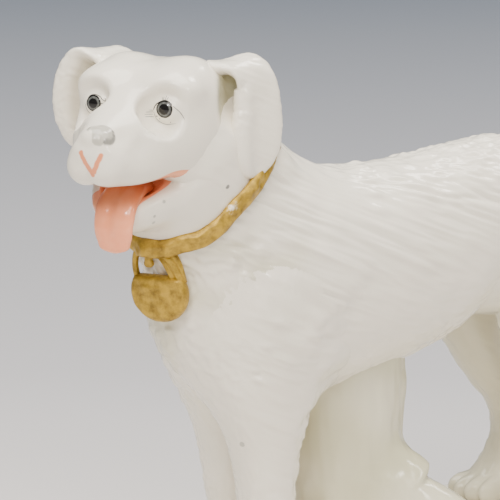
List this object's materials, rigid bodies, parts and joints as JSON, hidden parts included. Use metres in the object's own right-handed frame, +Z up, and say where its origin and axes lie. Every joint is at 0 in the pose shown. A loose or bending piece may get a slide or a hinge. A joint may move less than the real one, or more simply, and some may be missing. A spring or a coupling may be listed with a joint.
{
  "type": "porcelain dog figure",
  "caption": "White glazed porcelain dog standing on a low mound against a tree stump, head turned, mouth open, with a gilt collar and padlock.",
  "frame": {"origin": "middle of the flat underside of the mound, where the figure stands", "axes": "-X is the way the dog's body faces, -Y is the dog's left side, +Z is up"},
  "size_m": [0.2007, 0.068, 0.1499],
  "materials": {
    "white_glaze": "clear gloss glaze over white body",
    "gilding": "worn burnished gilding over glaze",
    "pink_enamel": "fired enamel over glaze"
  },
  "bodies": {
    "root": {"mound_base": "white_glaze", "tree_stump": "white_glaze", "torso_shell": "white_glaze", "head_shell": "white_glaze", "lower_jaw": "white_glaze", "tongue": "pink_enamel", "left_ear": "white_glaze", "right_ear": "white_glaze", "left_foreleg": "white_glaze", "right_foreleg": "white_glaze", "left_hind_leg": "white_glaze", "right_hind_leg": "white_glaze", "tail": "white_glaze", "collar": "gilding", "padlock_body": "gilding", "padlock_shackle": "gilding", "collar_tab": "gilding"}
  },
  "joints": []
}
